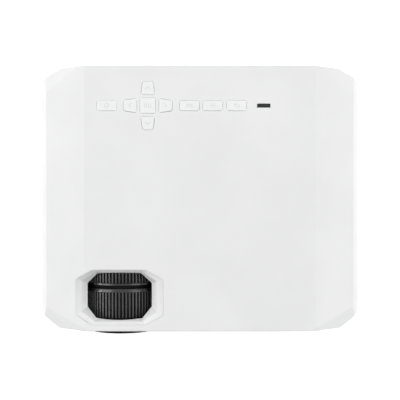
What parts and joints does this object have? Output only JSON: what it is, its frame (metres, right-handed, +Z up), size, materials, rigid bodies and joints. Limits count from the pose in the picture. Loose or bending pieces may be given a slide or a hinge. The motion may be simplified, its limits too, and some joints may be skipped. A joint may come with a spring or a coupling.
{
  "type": "projector with disc drive",
  "caption": "Small home video projector: white shell with cut corners, ribbed focus and keystone rings in a top window, keypad, side disc tray that slides out",
  "frame": {"origin": "on the floor, under the middle of the whole object", "axes": "+X to the right with the lens wall in front, +Y from the lens wall to the connector wall, +Z up"},
  "size_m": [0.26, 0.2116, 0.1003],
  "materials": {
    "white_shell": "satin white ABS, fine moulded grain",
    "white_bezel": "smooth white ABS",
    "white_grille": "satin white ABS",
    "grey_plastic": "dark grey ABS",
    "black_plastic": "black ABS, satin",
    "key_white": "white key caps, semi-gloss",
    "smoked_window": "dark glossy window",
    "foot_rubber": "dark grey rubber",
    "optical_glass": "coated lens glass",
    "lcd_glass": "dark liquid crystal panel",
    "board_green": "green circuit board with solder mask",
    "bright_metal": "bright stamped steel",
    "cast_aluminium": "extruded aluminium",
    "brass_insert": "turned brass",
    "screw_steel": "zinc plated screws"
  },
  "bodies": {
    "housing": {"top_cover": "white_shell", "bottom_cover": "white_shell", "lens_bezel": "white_bezel", "front_grille": "white_grille", "rear_grille": "grey_plastic", "side_grille": "white_grille", "io_panel": "grey_plastic", "status_window": "smoked_window", "rubber_feet": "foot_rubber", "tripod_insert": "brass_insert", "cover_screws": "screw_steel", "key_board": "board_green", "key_switches": "black_plastic", "lens_tube": "black_plastic", "engine_housing": "grey_plastic", "fresnel_lenses": "optical_glass", "condenser_lens": "optical_glass", "led_board": "cast_aluminium", "heat_sink": "cast_aluminium", "exhaust_fan_frame": "black_plastic", "lcd_fan_frame": "black_plastic", "main_board": "board_green", "sockets": "bright_metal", "power_board": "board_green", "power_inlet": "black_plastic", "speakers": "black_plastic", "drive_case": "bright_metal"},
    "focus_ring": {"focus_ring": "black_plastic"},
    "keystone_ring": {"keystone_ring": "black_plastic"},
    "lens_barrel": {"lens_barrel": "black_plastic", "front_lens": "optical_glass", "rear_lens": "optical_glass"},
    "lcd_frame": {"lcd_frame": "black_plastic", "lcd_panel": "lcd_glass"},
    "exhaust_rotor": {"exhaust_fan_rotor": "black_plastic"},
    "lcd_rotor": {"lcd_fan_rotor": "black_plastic"},
    "front_foot": {"front_foot_pad": "foot_rubber"},
    "foot_screw": {"front_foot_screw": "screw_steel"},
    "tray": {"disc_tray": "grey_plastic", "tray_bezel": "white_bezel", "drive_deck": "bright_metal", "spindle_motor": "bright_metal", "guide_rods": "bright_metal"},
    "runner_front": {"runner_front": "bright_metal"},
    "runner_rear": {"runner_rear": "bright_metal"},
    "hub": {"spindle_hub": "grey_plastic"},
    "sled": {"pickup_sled": "grey_plastic"},
    "lead_screw": {"lead_screw": "bright_metal"},
    "eject_button": {"eject_button": "key_white"},
    "key_power": {"key_power": "key_white"},
    "key_left": {"key_left": "key_white"},
    "key_ok": {"key_ok": "key_white"},
    "key_right": {"key_right": "key_white"},
    "key_up": {"key_up": "key_white"},
    "key_down": {"key_down": "key_white"},
    "key_source": {"key_source": "key_white"},
    "key_menu": {"key_menu": "key_white"},
    "key_back": {"key_back": "key_white"}
  },
  "joints": [
    {"name": "focus_turn", "type": "hinge", "parent": "housing", "child": "focus_ring", "pos_m": [-0.0635, -0.0816, 0.06], "axis": [0, 1, 0], "range_deg": [-120, 120]},
    {"name": "barrel_slide", "type": "slide", "parent": "housing", "child": "lens_barrel", "axis": [0, -1, 0], "range_m": [-0.004, 0.004]},
    {"name": "keystone_turn", "type": "hinge", "parent": "housing", "child": "keystone_ring", "pos_m": [-0.0635, -0.0581, 0.06], "axis": [0, 1, 0], "range_deg": [-40, 40]},
    {"name": "lcd_tilt", "type": "hinge", "parent": "housing", "child": "lcd_frame", "pos_m": [-0.0635, -0.0103, 0.06], "axis": [1, 0, 0], "range_deg": [-4, 4]},
    {"name": "exhaust_fan_spin", "type": "hinge", "parent": "housing", "child": "exhaust_rotor", "pos_m": [-0.0635, 0.0938, 0.06], "axis": [0, 1, 0], "continuous": true},
    {"name": "lcd_fan_spin", "type": "hinge", "parent": "housing", "child": "lcd_rotor", "pos_m": [-0.013, -0.0082, 0.06], "axis": [1, 0, 0], "continuous": true},
    {"name": "foot_height", "type": "slide", "parent": "housing", "child": "front_foot", "axis": [0, 0, -1], "range_m": [0, 0.012]},
    {"name": "foot_turn", "type": "hinge", "parent": "front_foot", "child": "foot_screw", "pos_m": [-0.009, -0.0762, 0.015], "axis": [0, 0, 1], "range_deg": [0, 2900]},
    {"name": "tray_slide", "type": "slide", "parent": "housing", "child": "tray", "axis": [1, 0, 0], "range_m": [0, 0.124]},
    {"name": "runner_front_slide", "type": "slide", "parent": "housing", "child": "runner_front", "axis": [1, 0, 0], "range_m": [0, 0.062]},
    {"name": "runner_rear_slide", "type": "slide", "parent": "housing", "child": "runner_rear", "axis": [1, 0, 0], "range_m": [0, 0.062]},
    {"name": "spindle_spin", "type": "hinge", "parent": "tray", "child": "hub", "pos_m": [0.0642, -0.0242, 0.0295], "axis": [0, 0, 1], "continuous": true},
    {"name": "sled_slide", "type": "slide", "parent": "tray", "child": "sled", "axis": [-0.7071, 0.7071, 0], "range_m": [0, 0.034]},
    {"name": "lead_screw_spin", "type": "hinge", "parent": "tray", "child": "lead_screw", "pos_m": [0.05076, -0.03764, 0.0231], "axis": [-0.7071, 0.7071, 0], "range_deg": [0, 4100]},
    {"name": "eject_press", "type": "slide", "parent": "tray", "child": "eject_button", "axis": [-1, 0, 0], "range_m": [0, 0.0008], "stiffness_N_per_m": 400},
    {"name": "key_power_press", "type": "slide", "parent": "housing", "child": "key_power", "axis": [0, 0, -1], "range_m": [0, 0.0006], "stiffness_N_per_m": 500},
    {"name": "key_left_press", "type": "slide", "parent": "housing", "child": "key_left", "axis": [0, 0, -1], "range_m": [0, 0.0006], "stiffness_N_per_m": 500},
    {"name": "key_ok_press", "type": "slide", "parent": "housing", "child": "key_ok", "axis": [0, 0, -1], "range_m": [0, 0.0006], "stiffness_N_per_m": 500},
    {"name": "key_right_press", "type": "slide", "parent": "housing", "child": "key_right", "axis": [0, 0, -1], "range_m": [0, 0.0006], "stiffness_N_per_m": 500},
    {"name": "key_up_press", "type": "slide", "parent": "housing", "child": "key_up", "axis": [0, 0, -1], "range_m": [0, 0.0006], "stiffness_N_per_m": 500},
    {"name": "key_down_press", "type": "slide", "parent": "housing", "child": "key_down", "axis": [0, 0, -1], "range_m": [0, 0.0006], "stiffness_N_per_m": 500},
    {"name": "key_source_press", "type": "slide", "parent": "housing", "child": "key_source", "axis": [0, 0, -1], "range_m": [0, 0.0006], "stiffness_N_per_m": 500},
    {"name": "key_menu_press", "type": "slide", "parent": "housing", "child": "key_menu", "axis": [0, 0, -1], "range_m": [0, 0.0006], "stiffness_N_per_m": 500},
    {"name": "key_back_press", "type": "slide", "parent": "housing", "child": "key_back", "axis": [0, 0, -1], "range_m": [0, 0.0006], "stiffness_N_per_m": 500}
  ],
  "couplings": [
    {"joint": "barrel_slide", "follows": "focus_turn", "m_per_rad": 0.0019},
    {"joint": "lcd_tilt", "follows": "keystone_turn", "ratio": 0.099},
    {"joint": "foot_turn", "follows": "foot_height", "rad_per_m": 4188.8},
    {"joint": "runner_front_slide", "follows": "tray_slide", "ratio": 0.5},
    {"joint": "runner_rear_slide", "follows": "tray_slide", "ratio": 0.5},
    {"joint": "lead_screw_spin", "follows": "sled_slide", "rad_per_m": 2094.4}
  ]
}
